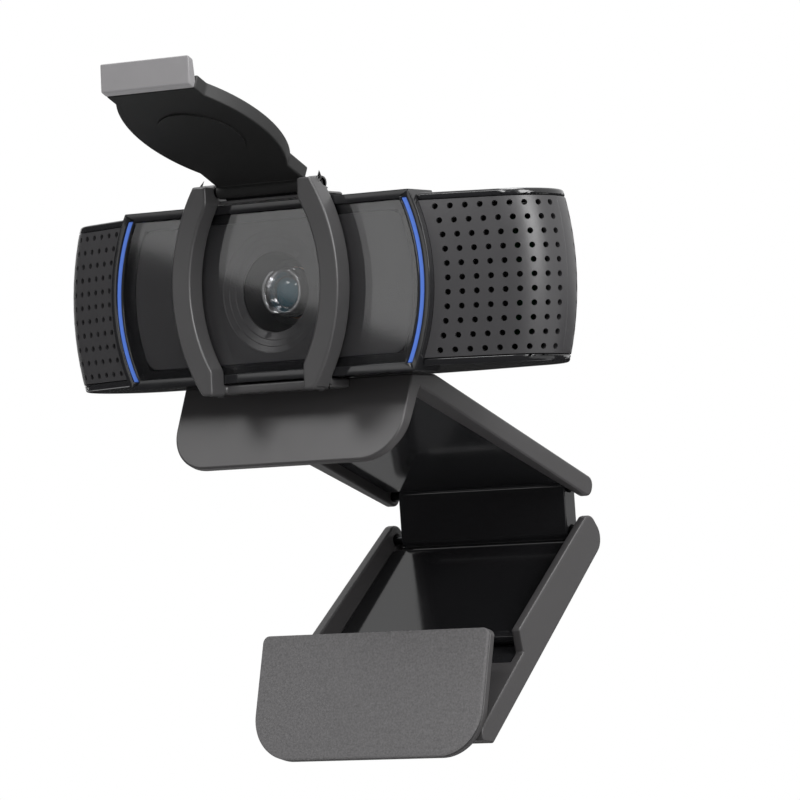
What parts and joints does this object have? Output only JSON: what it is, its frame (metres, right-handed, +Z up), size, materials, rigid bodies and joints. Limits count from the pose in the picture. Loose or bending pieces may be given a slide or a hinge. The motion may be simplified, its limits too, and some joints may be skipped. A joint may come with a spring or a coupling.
{
  "type": "webcam on folding clip",
  "caption": "Webcam with perforated wings, a flip-up privacy shutter, a focusing lens and a folding display clip with a hinged foot and a tripod thread.",
  "frame": {"origin": "where the optical axis crosses the front face of the window", "axes": "X is the width, the front faces -Y, +Z is up"},
  "size_m": [0.094, 0.0906, 0.1083],
  "materials": {
    "satin_black": "satin moulded plastic",
    "gloss_black": "polished moulded plastic",
    "dark_grey": "fine textured moulded plastic",
    "window_smoke": "smoked acrylic",
    "panel_grey": "satin",
    "light_blue": "light guide",
    "board_green": "solder mask",
    "silver": "turned",
    "lens_glass": "coated",
    "copper": "wound wire",
    "chip_black": "moulded",
    "heat_plate": "sheet",
    "steel": "turned",
    "soft_rubber": "textured",
    "cloth": "woven",
    "brass_insert": "machined"
  },
  "bodies": {
    "clip": {"hook_shell": "dark_grey", "tray_liner": "gloss_black", "lip_pad": "soft_rubber", "tilt_pin": "steel", "link_pin_upper": "steel"},
    "focus": {"lens_barrel": "silver", "front_lens": "lens_glass", "rear_lens": "lens_glass", "focus_coil": "copper"},
    "flap": {"shutter_flap": "satin_black", "flap_grip": "dark_grey", "flap_liner": "cloth"},
    "link": {"link": "gloss_black"},
    "leg": {"leg_shell": "dark_grey", "thread_insert": "brass_insert", "leg_liner": "gloss_black", "latch_bar": "gloss_black", "link_pin_lower": "steel", "foot_pin": "steel"},
    "foot": {"foot_plate": "dark_grey", "foot_pad": "soft_rubber"},
    "head": {"shutter_frame": "dark_grey", "shutter_pin": "steel", "front_bezel": "gloss_black", "window": "window_smoke", "light_strip_right": "light_blue", "light_strip_left": "light_blue", "light_board_right": "board_green", "light_board_left": "board_green", "inner_panel": "panel_grey", "window_border": "gloss_black", "lens_hood": "satin_black", "lens_holder": "chip_black", "infrared_filter": "lens_glass", "image_sensor": "chip_black", "sensor_board": "board_green", "board_spacers": "silver", "main_board": "board_green", "image_processor": "chip_black", "heat_spreader": "heat_plate", "inner_frame": "satin_black", "case_screws": "steel", "microphone_right": "silver", "mic_boot_right": "soft_rubber", "microphone_left": "silver", "mic_boot_left": "soft_rubber", "cable_inlet": "soft_rubber", "neck_bracket": "steel", "neck_screws": "steel", "tilt_washers": "steel", "grille_right": "dark_grey", "grille_left": "dark_grey", "grille_cloth_right": "cloth", "grille_cloth_left": "cloth", "rear_shell": "dark_grey", "top_cover": "gloss_black", "bottom_cover": "gloss_black"}
  },
  "joints": [
    {"name": "head_tilt", "type": "hinge", "parent": "clip", "child": "head", "pos_m": [0, 0.0109, -0.0154], "axis": [1, 0, 0], "range_deg": [-15, 5]},
    {"name": "shutter_hinge", "type": "hinge", "parent": "head", "child": "flap", "pos_m": [0, -0.0005, 0.0161], "axis": [1, 0, 0], "range_deg": [-30, 115]},
    {"name": "lens_focus", "type": "slide", "parent": "head", "child": "focus", "axis": [0, -1, 0], "range_m": [0, 0.0003], "stiffness_N_per_m": 60},
    {"name": "link_upper", "type": "hinge", "parent": "clip", "child": "link", "pos_m": [0, 0.05742, -0.0311], "axis": [1, 0, 0], "range_deg": [-28, 60]},
    {"name": "link_lower", "type": "hinge", "parent": "link", "child": "leg", "pos_m": [0, 0.05782, -0.03829], "axis": [1, 0, 0], "range_deg": [-28, 60]},
    {"name": "foot_fold", "type": "hinge", "parent": "leg", "child": "foot", "pos_m": [0, 0.02514, -0.07014], "axis": [1, 0, 0], "range_deg": [-34, 60]}
  ]
}
